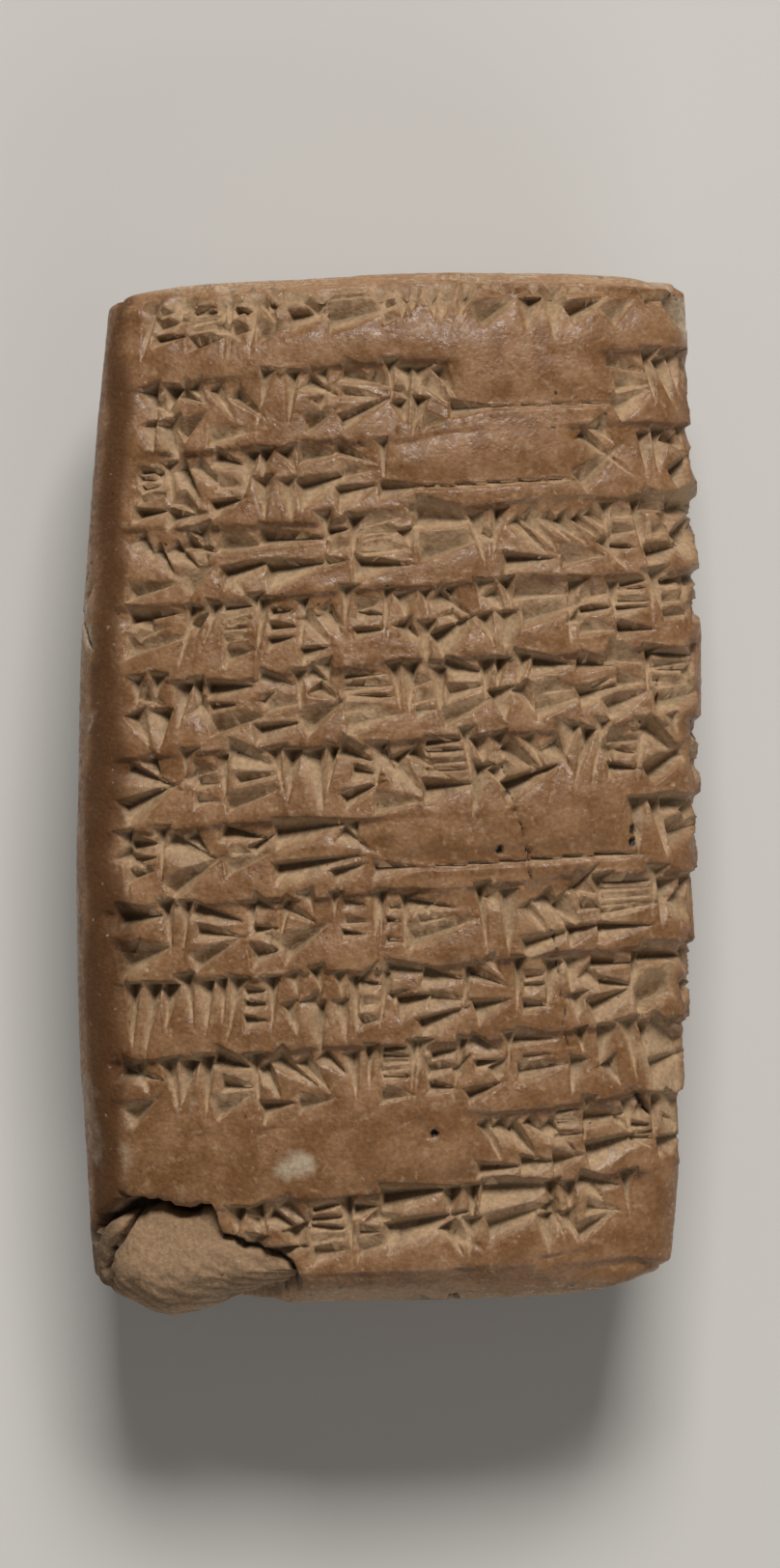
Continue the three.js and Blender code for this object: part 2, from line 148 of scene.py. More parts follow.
class Skin:
    """The tablet's skin: a band of obverse, right edge, reverse and left edge, and the two ends.

    A ring of the band runs round the tablet from the left of the obverse. Each point has its place
    on the plain body, the way out of the clay there, and its height over the plain body.
    """

    def __init__(self):
        self.x_lines, self.y_lines, self.z_lines = (axis_lines(axis) for axis in range(3))
        self.columns = len(self.x_lines) - 1
        self.rows = len(self.y_lines)
        self.layers = len(self.z_lines) - 1
        self.ring = 2 * (self.columns + self.layers)
        self.band_size = self.ring * self.rows
        self.base = self.place_points()
        self.faces = self.join_faces()
        self.normal = self.smooth_normals(self.base)
        self.measure_band()
        self.height = np.zeros(len(self.base))

    def ring_lines(self):
        """x and z of the block's outline, once round, clockwise as seen from the lower end."""
        x, z = self.x_lines, self.z_lines
        sides = [(x[:-1], z[-1]), (x[-1], z[:0:-1]), (x[:0:-1], z[0]), (x[0], z[:-1])]
        return np.concatenate([np.stack(np.broadcast_arrays(*side), axis=1) for side in sides])

    def place_points(self):
        """The points of the band, one line along the tablet after another, and then of the ends."""
        x, y, z = self.x_lines, self.y_lines, self.z_lines
        outline = np.repeat(self.ring_lines(), self.rows, axis=0)
        band = np.insert(outline, 1, np.tile(y, self.ring), axis=1)
        ends = [lattice(x[1:-1], [level], z[1:-1]) for level in (y[-1], y[0])]
        return crowned(rounded(np.concatenate([band] + ends)))

    def end_index(self, which):
        """The point numbers of one end's whole grid, its rim shared with the band."""
        nx, nz, rows = self.columns, self.layers, self.rows
        row = rows - 1 if which == 0 else 0
        rim = np.arange(self.ring) * rows + row
        grid = np.empty((nx + 1, nz + 1), dtype=np.int64)
        grid[:nx, nz] = rim[:nx]
        grid[nx, nz:0:-1] = rim[nx:nx + nz]
        grid[nx:0:-1, 0] = rim[nx + nz:2 * nx + nz]
        grid[0, :nz] = rim[2 * nx + nz:]
        start = self.band_size + which * (nx - 1) * (nz - 1)
        grid[1:nx, 1:nz] = start + np.arange((nx - 1) * (nz - 1)).reshape(nx - 1, nz - 1)
        return grid

    def join_faces(self):
        """The corners of each face, in order round it as seen from outside."""
        band = np.arange(self.band_size).reshape(self.ring, self.rows)
        band = squares(np.concatenate([band, band[:1]]))
        upper = squares(self.end_index(0))
        lower = squares(self.end_index(1))
        return np.concatenate([band, np.roll(upper[:, ::-1], 1, axis=1), lower])

    def smooth_normals(self, points):
        corner = points[self.faces]
        across = corner[:, 2] - corner[:, 0]
        along = corner[:, 3] - corner[:, 1]
        face_normal = np.cross(across, along)
        total = np.zeros_like(points)
        for k in range(4):
            for axis in range(3):
                total[:, axis] += np.bincount(
                    self.faces[:, k], face_normal[:, axis], minlength=len(points))
        return total / np.linalg.norm(total, axis=1, keepdims=True)

    def measure_band(self):
        """Where each ring point lies along the outline, from the middle of the obverse."""
        over = arc_length(self.x_lines, 0, RING_RADIUS)
        side = arc_length(self.z_lines, 2, RING_RADIUS)
        quarter = over[-1] + side[-1]
        under = 2 * quarter - over[:0:-1]
        left = 3 * quarter + side[:-1]
        self.turn = np.concatenate([over[:-1], quarter - side[:0:-1], under, left])
        self.girth = 4 * quarter
        self.level = arc_length(self.y_lines, 1, END_RADIUS)

    def along(self, face, s):
        """The distance round the band of a place on the obverse (1) or the reverse (-1)."""
        return s if face > 0 else self.girth / 2 - s

    def ring_at(self, turn):
        first = self.turn[0]
        wrapped = (turn - first) % self.girth + first
        closed_turn = np.append(self.turn, first + self.girth)
        return np.interp(wrapped, closed_turn, np.arange(self.ring + 1))

    def row_at(self, y):
        return np.interp(y, self.level, np.arange(self.rows))

    def sample(self, values, turn, y):
        """The band's values between its grid points."""
        i = self.ring_at(turn)
        j = self.row_at(y)
        i0 = int(i)
        j0 = min(int(j), self.rows - 2)
        fi, fj = i - i0, j - j0
        a = (i0 % self.ring) * self.rows + j0
        b = ((i0 + 1) % self.ring) * self.rows + j0
        low = values[a] * (1 - fi) + values[b] * fi
        high = values[a + 1] * (1 - fi) + values[b + 1] * fi
        return low * (1 - fj) + high * fj

    def window(self, turn, y, reach):
        """The numbers of the points near a place of the band."""
        i0 = math.floor(self.ring_at(turn) - reach / SPACING * SLACK)
        i1 = i0 + math.ceil(reach / SPACING * 2 * SLACK)
        j0 = math.floor(self.row_at(y - reach))
        j1 = math.ceil(self.row_at(y + reach))
        i = np.arange(i0, i1 + 1) % self.ring
        j = np.arange(j0, j1 + 1)
        near = (i[:, None] * self.rows + j[None, :]).ravel()
        if abs(y) + reach > self.level[-1]:
            near = np.concatenate([near, np.arange(self.band_size, len(self.base))])
        return near

    def blurred(self, values, width):
        """The band's values smoothed over a width; the ends keep theirs."""
        band = values[:self.band_size].reshape(self.ring, self.rows)
        steps = width / SPACING
        margin = int(4 * steps) + 1
        padded = np.pad(band, ((0, 0), (margin, margin)), mode="edge")
        fi = np.fft.fftfreq(padded.shape[0])
        fj = np.fft.rfftfreq(padded.shape[1])
        damping = np.exp(-2 * (math.pi * steps) ** 2 * (fi[:, None] ** 2 + fj[None, :] ** 2))
        smooth = np.fft.irfft2(np.fft.rfft2(padded) * damping, s=padded.shape)
        out = values.copy()
        out[:self.band_size] = smooth[:, margin:-margin].ravel()
        return out


# ---- Repeatable noise ----

OCTAVE_SHIFT = 7.3


class Noise:
    """Smooth noise over space, between -1 and 1, from a fixed table of chance values."""

    def __init__(self, seed):
        self.size = 32
        self.table = np.random.default_rng(seed).uniform(-1, 1, (self.size,) * 3)

    def at(self, points, scale):
        places = points / scale
        cell = np.floor(places).astype(np.int64)
        part = places - cell
        part = part * part * (3 - 2 * part)
        total = np.zeros(len(points))
        for corner in np.ndindex(2, 2, 2):
            weight = np.ones(len(points))
            for axis in range(3):
                near = part[:, axis] if corner[axis] else 1 - part[:, axis]
                weight = weight * near
            index = (cell + corner) % self.size
            total += weight * self.table[index[:, 0], index[:, 1], index[:, 2]]
        return total

    def layered(self, points, scale, octaves=3):
        total = np.zeros(len(points))
        for octave in range(octaves):
            total += self.at(points + OCTAVE_SHIFT * octave, scale / 2**octave) / 2**octave
        return total


def ramp(value, low, high):
    """0 below low, 1 above high, and smooth between."""
    part = np.clip((value - low) / (high - low), 0, 1)
    return part * part * (3 - 2 * part)


def bell(distance, width):
    """1 at no distance, falling off within about a width."""
    return np.exp(-((distance / width) ** 2))


def soft_min(a, b, width):
    overlap = np.maximum(width - np.abs(a - b), 0)
    return np.minimum(a, b) - overlap * overlap / (4 * width)


GRAIN = Noise(5)
SWELL = Noise(11)


# ---- The strokes, drawn by a fixed chance sequence ----

ROW_PITCH = 3.8
ROW_HEIGHT = 3.4
ROW_RISE = 0.04
TOP_ROW = 23.5
REVERSE_PITCH = 3.67
REVERSE_TOP_ROW = -23.2
MARGIN = -13.5
ROW_END = 19.0
START_SPREAD = (-0.2, 0.3)  # how ragged the rows' starts and ends are
END_SPREAD = (-2.4, 0.6)

SIGN_WIDTHS = (1.6, 3.1)
SHORTEST_SIGN = 1.2
SIGN_GAP = (-0.15, 0.15)
SIGN_LIFT = (-0.25, 0.25)
CORNER_WEDGES = 0.45  # the share of signs that begin with one

CHANCE_FACTOR = 16807
CHANCE_MODULUS = 2**31 - 1
chance_state = 4711


def chance():
    """The next number of the sequence, between 0 and 1."""
    global chance_state
    chance_state = (chance_state * CHANCE_FACTOR) % CHANCE_MODULUS
    return chance_state / CHANCE_MODULUS


def between(low, high):
    return low + (high - low) * chance()


def stroke(x, down, angle, length, width, depth):
    """A three-sided pit, deepest at its head.

    down is a share of the row's height, and angle is clockwise from the row's direction.
    """
    y = ROW_HEIGHT * down
    return {"x": x, "y": y, "angle": angle, "length": length, "width": width, "depth": depth}


def comb_group(width):
    """Four or five thin bars, closed by an upright, over one long bar."""
    bars = 4 + math.floor(between(0, 1.99))
    strokes = []
    for i in range(bars):
        down = 0.56 * i / bars - 0.3
        length = width * between(0.85, 1.0)
        strokes.append(stroke(between(0, 0.15), down, between(-5, 1), length, 0.66, 0.5))
    strokes.append(stroke(width * 0.9, -0.4, between(86, 96), 2.9, 1.1, 0.75))
    strokes.append(stroke(between(0, 0.3), 0.38, between(-6, 0), width, 1.3, 0.85))
    return strokes


def upright_group(width):
    count = max(2, math.floor(width / 1.05 + 0.5))
    strokes = []
    for i in range(count):
        x = width * (i + 0.5) / count
        down = -between(0.3, 0.42)
        strokes.append(stroke(x, down, between(82, 100), between(2.2, 3.1), 1.2, 0.8))
    return strokes


def cross_group(width):
    length = width * between(1.0, 1.15)
    return [
        stroke(between(0, 0.2), -0.3, between(20, 36), length, 1.35, 0.8),
        stroke(between(0, 0.2), 0.34, between(-36, -20), length, 1.5, 0.95),
        stroke(width * 0.4, -0.42, between(40, 80), between(1.0, 1.6), 1.1, 0.6),
    ]


def bar_group(width):
    upper = -between(0.24, 0.36)
    lower = between(0.12, 0.32)
    return [
        stroke(between(0, 0.2), upper, between(-6, 8), width * 0.9, 1.35, 0.8),
        stroke(between(0.3, 0.8), 0, between(-12, 4), width * 0.6, 0.9, 0.55),
        stroke(between(0.1, 0.5), lower, between(-14, -2), width, 1.5, 0.9),
    ]


def tier_group(width):
    """Short uprights in two rows."""
    strokes = []
    columns = max(1, math.floor(width / 1.15 + 0.5))
    for i in range(columns):
        x = width * (i + 0.4) / columns
        upper = between(1.4, 1.9)
        lower = between(1.4, 2.2)
        strokes.append(stroke(x, -0.38, between(70, 100), upper, 1.25, 0.75))
        strokes.append(stroke(x, 0.1, between(60, 100), lower, 1.3, 0.75))
    return strokes


def fan_group(width):
    return [
        stroke(0.1, -0.38, between(12, 26), width, 1.25, 0.8),
        stroke(between(0.2, 0.7), 0, between(-6, 8), width * 0.85, 1.0, 0.65),
        stroke(0.1, 0.4, between(-26, -12), width, 1.35, 0.85),
        stroke(width * 0.9, -0.4, between(82, 98), between(2.2, 3.0), 1.2, 0.75),
    ]


def ladder_group(width):
    return [
        stroke(width * 0.12, -0.42, between(84, 96), 2.9, 1.2, 0.75),
        stroke(width * 0.3, -0.22, between(-8, 4), width * 0.6, 0.85, 0.6),
        stroke(width * 0.3, 0, between(-8, 4), width * 0.6, 0.85, 0.6),
        stroke(width * 0.3, 0.24, between(-8, 4), width * 0.6, 0.95, 0.65),
        stroke(width * 0.88, -0.38, between(86, 98), 2.8, 1.25, 0.8),
    ]


def slanting_group(width):
    """Wedges that lean one over the next."""
    count = max(2, math.floor(width / 0.9 + 0.5))
    strokes = []
    for i in range(count):
        x = width * (i + 0.2) / count
        down = -between(0.1, 0.34)
        strokes.append(stroke(x, down, between(38, 62), between(1.8, 2.5), 1.1, 0.75))
    strokes.append(stroke(between(0, 0.3), 0.42, between(-12, -2), width, 1.2, 0.75))
    return strokes


def long_group(width):
    """Two long wedges, one over the other, that reach on under the next sign."""
    upper = width * between(1.2, 1.5)
    lower = width * between(1.3, 1.7)
    return [
        stroke(0, -between(0.28, 0.4), between(-6, 6), upper, 1.6, 0.85),
        stroke(between(0.1, 0.4), between(0.1, 0.3), between(-20, -8), lower, 1.8, 0.95),
    ]


GROUPS = [
    comb_group, upright_group, cross_group, bar_group, tier_group,
    fan_group, ladder_group, slanting_group, long_group,
]

# What each row holds, where it isn't full: a start, an end, or a smooth stretch that one long thin
# stroke crosses. lift moves a row towards the rim before it.
OBVERSE_COUNT = 13
OBVERSE_ROWS = {
    0: {"lift": 0.9},
    1: {"smooth": (3.0, 11.4)},
    2: {"smooth": (-0.6, 9.6)},
    3: {"end": 26.0},
    4: {"end": 27.0},
    6: {"end": 25.0},
    7: {"smooth": (-0.6, 12.0), "end": 26.0},
    8: {"end": 27.0},
    9: {"end": 22.0},
    10: {"end": 25.5},
    11: {"start": 5.2, "end": 23.0},
    12: {"start": -8.4, "end": 14.8},
}
REVERSE_COUNT = 14
REVERSE_ROWS = {
    0: {"lift": 0.9},
    1: {"smooth": (-0.5, 10.6)},
    3: {"smooth": (-12.4, -1.0)},
    6: {"smooth": (1.0, 11.4)},
    7: {"smooth": (3.4, 10.6)},
    13: {"smooth": (-1.0, 12.6), "end": 13.0},
}


def varied(mark):
    """A stroke as a hand makes it: no two are quite alike.

    keel is how far aside it is deepest, and slope how far its head's wall leans back.
    """
    return {
        **mark,
        "x": mark["x"] + between(-0.08, 0.08),
        "y": mark["y"] + between(-0.12, 0.12),
        "angle": mark["angle"] + between(-6, 6),
        "length": mark["length"] * between(0.9, 1.15),
        "width": mark["width"] * between(0.75, 1.2),
        "depth": mark["depth"] * between(0.75, 1.15),
        "keel": between(-0.3, 0.3),
        "slope": between(0.15, 0.6),
    }


def corner_wedge(width):
    """A short broad wedge set into a sign at a slant."""
    x = width * between(0.1, 0.8)
    down = between(-0.35, 0.25)
    angle = between(30, 60) * (1 if chance() < 0.7 else -1)
    return stroke(x, down, angle, between(1.0, 1.7), between(1.1, 1.6), between(0.55, 0.8))


def fill_stretch(place, start, end):
    strokes = []
    cursor = start
    while cursor < end - SHORTEST_SIGN:
        width = min(between(*SIGN_WIDTHS), end - cursor)
        group = GROUPS[math.floor(chance() * len(GROUPS))]
        lift = between(*SIGN_LIFT)
        marks = [corner_wedge(width)] if chance() < CORNER_WEDGES else []
        for mark in marks + group(width):
            changed = varied(mark)
            strokes.append({**changed, **place(cursor + changed["x"], changed["y"] + lift)})
        cursor += width + between(*SIGN_GAP)
    return strokes


def ruled_stroke(place, start, end):
    """One long thin stroke, which follows the clay in short overlapping runs, and its head."""
    run = 1.6
    shortest_run = 0.6
    strokes = []
    cursor = end
    while cursor > start + shortest_run:
        cursor = max(cursor - run, start)
        mark = stroke(0, 0, -0.5, run * 1.7, 0.42, 0.3)
        section = {"keel": 0.3, "slope": 0.3, "sink": 0.4}
        strokes.append({**mark, **section, **place(cursor, ROW_HEIGHT * 0.36)})
    head = stroke(0, 0, -2, 2.6, 1.2, 0.75)
    strokes.append({**head, "keel": 0.1, "slope": 0.3, **place(start, ROW_HEIGHT * 0.34)})
    return strokes


def face_strokes(face, count, rows, pitch, first_row):
    strokes = []
    for row in range(count):
        plan = rows.get(row, {})
        start = plan.get("start", MARGIN) + between(*START_SPREAD)
        end = plan.get("end", ROW_END) + between(*END_SPREAD)
        level = first_row + face * (plan.get("lift", 0) - pitch * row)

        def place(s, down, level=level):
            return {"face": face, "s": s, "y": level + ROW_RISE * s - face * down}

        if "smooth" in plan:
            smooth_from, smooth_to = plan["smooth"]
            strokes += fill_stretch(place, start, smooth_from)
            strokes += ruled_stroke(place, smooth_from, smooth_to)
            strokes += fill_stretch(place, smooth_to, end)
        else:
            strokes += fill_stretch(place, start, end)
    return strokes


def all_strokes():
    obverse = face_strokes(1, OBVERSE_COUNT, OBVERSE_ROWS, ROW_PITCH, TOP_ROW)
    reverse = face_strokes(-1, REVERSE_COUNT, REVERSE_ROWS, REVERSE_PITCH, REVERSE_TOP_ROW)
    return obverse + reverse


# ---- Pressing the strokes ----

SINK = 0.42  # how far the clay sinks as a whole where strokes are dense
SINK_REACH = 0.7
SINK_TAPER = 0.6  # how much less it sinks at a stroke's tail
SINK_GAIN = 1.2  # how soon more strokes sink it no further
SHINGLE = 1.1  # how unevenly it sinks from the head of a row to its foot
SHINGLE_WAVER = 0.3
SHINGLE_STEP = 0.07  # the share of a row that the step down to it takes
ROW_HEAD = 0.46 * ROW_HEIGHT
EDGE_WEAR = 0.06
LIP = 0.055  # clay pushed up along a stroke's edges
LIP_REACH = 0.26
GLANCING = 0.05  # a plane steeper than this against the skin bounds no stroke


def stroke_place(mark, ahead, aside):
    """The face coordinates of a place right of a stroke's head by ahead and left of it by aside."""
    angle = math.radians(mark["angle"])
    right = ahead * math.cos(angle) + aside * math.sin(angle)
    down = ahead * math.sin(angle) - aside * math.cos(angle)
    return mark["s"] + right, mark["y"] - mark["face"] * down


def stroke_point(skin, values, mark, ahead, aside=0.0):
    s, y = stroke_place(mark, ahead, aside)
    return skin.sample(values, skin.along(mark["face"], s), y)


def stroke_window(skin, mark, margin):
    s, y = stroke_place(mark, mark["length"] / 2, 0)
    return skin.window(skin.along(mark["face"], s), y, mark["length"] / 2 + margin)


def shingled(skin):
    """How much deeper the clay sinks just under the row above, rising evenly to the row's foot."""
    turn, level = np.meshgrid(skin.turn, skin.level, indexing="ij")
    over = np.abs(turn) < skin.girth / 4 + 2
    across = np.where(over, turn, skin.girth / 2 - turn)
    first = np.where(over, TOP_ROW, REVERSE_TOP_ROW)
    pitch = np.where(over, ROW_PITCH, REVERSE_PITCH)
    down = np.where(over, 1, -1) * (first + ROW_RISE * across - level)
    waver = SWELL.layered(skin.base[:skin.band_size], 4, 2)
    down += SHINGLE_WAVER * waver.reshape(down.shape)
    part = ((down + ROW_HEAD) / pitch) % 1
    fall = ramp(part, 0, SHINGLE_STEP) - part
    share = np.ones(len(skin.base))
    share[:skin.band_size] += (SHINGLE * (fall - 0.45)).ravel()
    return share


def sunk_clay(skin, strokes):
    """How far the clay has sunk around the strokes, before they are pressed themselves."""
    weight = np.zeros(len(skin.base))
    for mark in strokes:
        near = stroke_window(skin, mark, 2.2 * SINK_REACH)
        head = stroke_point(skin, skin.base, mark, 0)
        run = stroke_point(skin, skin.base, mark, mark["length"]) - head
        offset = skin.base[near] - head
        part = np.clip(offset @ run / (run @ run), 0, 1)
        distance = np.linalg.norm(offset - part[:, None] * run, axis=1)
        strength = mark.get("sink", mark["width"] * mark["depth"]) * (1 - SINK_TAPER * part)
        weight[near] += strength * bell(distance, SINK_REACH)
    return SINK * (1 - np.exp(-SINK_GAIN * weight)) * shingled(skin)


def press_stroke(skin, sunk_points, mark):
    """Pushes the clay down to the three planes of a stroke."""
    normal = stroke_point(skin, skin.normal, mark, 0)
    normal = normal / np.linalg.norm(normal)
    behind = -mark["slope"] * mark["depth"]
    half = mark["width"] / 2
    aside = mark["keel"] * mark["width"]
    deepest = stroke_point(skin, sunk_points, mark, 0, aside) - mark["depth"] * normal
    tail = stroke_point(skin, sunk_points, mark, mark["length"]) - deepest
    left = stroke_point(skin, sunk_points, mark, behind, half) - deepest
    right = stroke_point(skin, sunk_points, mark, behind, -half) - deepest
    near = stroke_window(skin, mark, mark["width"])
    offset = skin.base[near] - deepest
    outward = skin.normal[near]
    floor = np.full(len(near), -np.inf)
    for one, other in ((tail, left), (right, tail), (left, right)):
        into = np.cross(one, other)
        into = into / np.linalg.norm(into)
        if into @ normal < 0:
            into = -into
        facing = outward @ into
        height = -(offset @ into) / np.maximum(facing, GLANCING)
        floor = np.maximum(floor, np.where(facing > GLANCING, height, np.inf))
    close = np.linalg.norm(offset, axis=1) < mark["length"] + mark["width"] + 1
    near = near[close]
    floor = floor[close]
    above = floor - skin.height[near]
    lip = np.where(above > 0, LIP * bell(above, LIP_REACH), 0)
    skin.height[near] = soft_min(skin.height[near] + lip, floor, EDGE_WEAR)


def press_all(skin):
    strokes = all_strokes()
    sunk = sunk_clay(skin, strokes)
    skin.height -= sunk
    sunk_points = skin.base - skin.normal * sunk[:, None]
    for mark in strokes:
        press_stroke(skin, sunk_points, mark)
    return sunk


# ---- Damage and wear ----

AXIS_SHIFT = 31  # millimetres between the parts of the noise that shift points along X, Y and Z
LINE_REACH = 2  # as far as a crack or a line is looked for around its path
BEYOND_SIDES = 16  # levels just outside the clay at the long sides and at the ends
BEYOND_ENDS = 26


def line_distance(points, path):
    """How far each point is from a path, and how far along it, 0 to 1, the nearest place is."""
    best = np.full(len(points), np.inf)
    share = np.zeros(len(points))
    for k in range(len(path) - 1):
        step = path[k + 1] - path[k]
        part = np.clip((points - path[k]) @ step / (step @ step), 0, 1)
        distance = np.linalg.norm(points - path[k] - part[:, None] * step, axis=1)
        closer = distance < best
        best = np.where(closer, distance, best)
        share = np.where(closer, (k + part) / (len(path) - 1), share)
    return best, share


class Wear:
    """What marks change: the skin's height, and layers of how each point looks, from 0 to 1.

    A mark's places are rough, and each stands for the nearest place of the plain body. Its edge is
    ragged, because distances are measured from points that noise has shifted.
    """

    def __init__(self, skin):
        self.base = skin.base
        self.height = skin.height
        names = ("broken", "dark", "pale", "prints")
        self.layers = {name: np.zeros(len(self.base)) for name in names}

    def mark(self, layer, near, amount):
        values = self.layers[layer]
        values[near] = np.maximum(values[near], amount)

    def on_skin(self, places):
        nearest = [np.argmin(((self.base - np.array(place)) ** 2).sum(axis=1)) for place in places]
        return self.base[nearest]

    def close_to(self, path, reach):
        """The numbers of the points in the box round a path."""
        low = path.min(axis=0) - reach
        high = path.max(axis=0) + reach
        return np.flatnonzero(((self.base > low) & (self.base < high)).all(axis=1))

    def wandering(self, near, amount, scale):
        points = self.base[near]
        shift = [GRAIN.layered(points + AXIS_SHIFT * axis, scale, 2) for axis in range(3)]
        return points + amount * np.stack(shift, axis=1)

    def along(self, places, reach, amount, scale):
        """The points near a path of two places or more, how far from it, and how far along it."""
        path = self.on_skin(places)
        near = self.close_to(path, reach)
        distance, share = line_distance(self.wandering(near, amount, scale), path)
        return near, distance, share


def crack(wear, places, width, depth, lips=0.0):
    """A dark cut, which may have pale lips."""
    near, distance, share = wear.along(places, LINE_REACH, 0.16, 0.8)
    taper = np.clip(6 * np.minimum(share, 1 - share), 0, 1)
    cut = taper * bell(distance, width)
    wear.height[near] -= depth * cut
    wear.mark("dark", near, ramp(cut, 0.15, 0.6))
    lip = bell(distance - 2.2 * width, 1.8 * width)
    wear.mark("pale", near, lips * lip * taper)


def line(wear, places, layer, width, amount, rise=0.0):
    """A scratch, a stain or a ridge along a path."""
    near, distance, share = wear.along(places, LINE_REACH, 0.2, 0.7)
    taper = np.clip(5 * np.minimum(share, 1 - share), 0, 1)
    ridge = taper * bell(distance, width)
    wear.height[near] += rise * ridge
    broken_up = 0.65 + 0.35 * GRAIN.at(wear.base[near], 0.45)
    wear.mark(layer, near, amount * ridge * broken_up)


def patch(wear, places, layer, radius, amount):
    """A mottled patch of a layer."""
    near, distance, _ = wear.along(places, 2 * radius, 0.16 * radius, 0.5 * radius)
    mottled = 0.35 + 0.65 * ramp(GRAIN.layered(wear.base[near], 0.7), -0.5, 0.4)
    wear.mark(layer, near, amount * mottled * ramp(1 - distance / radius, 0, 0.35))


def pit(wear, places, radius, depth):
    """A small round hole at one place."""
    middle = wear.on_skin(places)
    near = wear.close_to(middle, 2 * radius)
    distance = np.linalg.norm(wear.wandering(near, 0.3 * radius, radius) - middle, axis=1)
    hole = ramp(1.2 - distance / radius, 0, 0.6)
    wear.height[near] -= depth * hole
    wear.mark("dark", near, ramp(hole, 0.2, 0.8))


def chip(wear, places, radius, depth):
    """A shallow scar of lost clay."""
    near, distance, _ = wear.along(places, 2 * radius, 0.3 * radius, 0.8 * radius)
    lost = ramp(1 - distance / radius, 0, 0.3)
    roughness = GRAIN.layered(wear.base[near], 0.9)
    wear.height[near] -= depth * lost * (0.8 + 0.35 * roughness)
    wear.mark("broken", near, lost)


def crumble(wear, places, radius, rise):
    """A rough heap of crumbs with dark gaps between them."""
    near, distance, _ = wear.along(places, 2 * radius, 0, radius)
    part = ramp(1 - distance / radius, 0, 0.5)
    crumbs = np.abs(GRAIN.layered(wear.base[near], 1.1, 2))
    gaps = 1 - ramp(crumbs, 0.02, 0.16)
    wear.height[near] += part * (rise * (0.4 + 1.2 * crumbs) - 0.55 * gaps)
    wear.mark("dark", near, part * gaps)
    wear.mark("broken", near, 0.7 * part)


# The corner at the lower left of the obverse has lost its skin down to a curved plane.
BREAK_PLACE = np.array([-14.5, -20.75, 11.85])
BREAK_OUTWARD = np.array([-0.26, -0.707, 0.655])
BREAK_MIDDLE = -9.5
BREAK_CURVE = 0.013
BREAK_STEP = (-9.0, -8.4)  # where it steps up along X
BREAK_STEP_RISE = 0.75
BREAK_END = (-5.2, -3.4)  # where it runs out
BREAK_MARGIN = 1.5
# A ledge is left of LEDGE_END. Right of it the core stands out, layered in its lower part.
SKIN_DEPTH = 0.8
LEDGE_END = (-14.2, -13.8)
LEDGE_DEPTH = 0.25
CORE_PLACE = np.array([-10.8, -25.7, 10.6])
CORE_REACH = np.array([3.6, 3.0, 3.0])
CORE_RISE = 1.75
LAYERS_ACROSS = np.array([0.25, 0.55, 0.8])
LAYER_PITCH = 0.55
LAYERS_FROM = (23.2, 25.0)
GAP_DEPTH = 0.45  # of the gap along the break's edge, and how much more it is at its left
GAP_LEFT_DEPTH = 0.95
GAP_LEFT_END = (-10.4, -8.8)


def beyond_break(points):
    """How far points lie beyond the break, where it is below zero inside the clay that stayed."""
    x = points[:, 0]
    beyond = (points - BREAK_PLACE) @ BREAK_OUTWARD
    beyond -= BREAK_CURVE * (x - BREAK_MIDDLE) ** 2
    beyond -= BREAK_STEP_RISE * ramp(x, *BREAK_STEP)
    return beyond - ramp(x, *BREAK_END)


def break_corner(skin, wear):
    """Bares the rough layered core at the corner, with a gap between it and the skin."""
    beyond = beyond_break(skin.base)
    near = np.flatnonzero(beyond > -BREAK_MARGIN)
    points = skin.base[near]
    normal = skin.normal[near]
    beyond = beyond[near] + 0.16 * GRAIN.layered(points, 1.5) + 0.05 * GRAIN.at(points, 0.3)
    lost = ramp(beyond, 0, 0.1)

    across_layers = points @ LAYERS_ACROSS + 0.35 * SWELL.layered(points, 3)
    layers = np.abs((across_layers / LAYER_PITCH) % 1 - 0.5)
    lower_part = ramp(-points[:, 1], *LAYERS_FROM)
    rough = 0.1 * GRAIN.layered(points, 1.4) + 0.14 * lower_part * (layers - 0.25)
    swelling = np.exp(-(((points - CORE_PLACE) / CORE_REACH) ** 2).sum(axis=1))
    core = CORE_RISE * swelling - SKIN_DEPTH + rough
    ledge = 1 - ramp(points[:, 0] + 0.2 * GRAIN.at(points, 0.9), *LEDGE_END)
    core += ledge * (1.5 * rough - LEDGE_DEPTH - core)

    left_of = 1 - ramp(points[:, 0], *GAP_LEFT_END)
    uneven = 0.7 + 0.5 * GRAIN.at(points, 1.3)
    wide = np.where(normal[:, 2] > 0.5, 0.2 * left_of * uneven, 0.0)
    gap = bell(beyond - 0.1 - wide, 0.1 + 0.8 * wide)
    depth = GAP_DEPTH + GAP_LEFT_DEPTH * left_of * (0.8 + 0.3 * GRAIN.at(points, 0.9))
    height = skin.height[near]
    skin.height[near] = height + lost * (core - height) - gap * depth

    wear.mark("broken", near, lost)
    wear.mark("dark", near, 0.42 * lost * ledge)
    # Painted shadow: the gap along the break's edge is painted dark, less where it lies on the lower
    # end.
    on_end = ramp(-normal[:, 1], 0.6, 0.9)
    wear.mark("dark", near, 0.9 * ramp(gap, 0.35, 0.9) * (1 - 0.6 * on_end))
    flakes = ramp(GRAIN.layered(points, 0.8), 0.35, 0.8) * lower_part * lost
    wear.mark("dark", near, 0.5 * flakes)
    wear.mark("dark", near, 0.45 * lost * ramp(0.2 - layers, 0, 0.15) * lower_part)


# The marks of each side: a kind, its places, and then what the kind asks for. On the upright sides
# and the ends, places leave out the axis that the side faces.

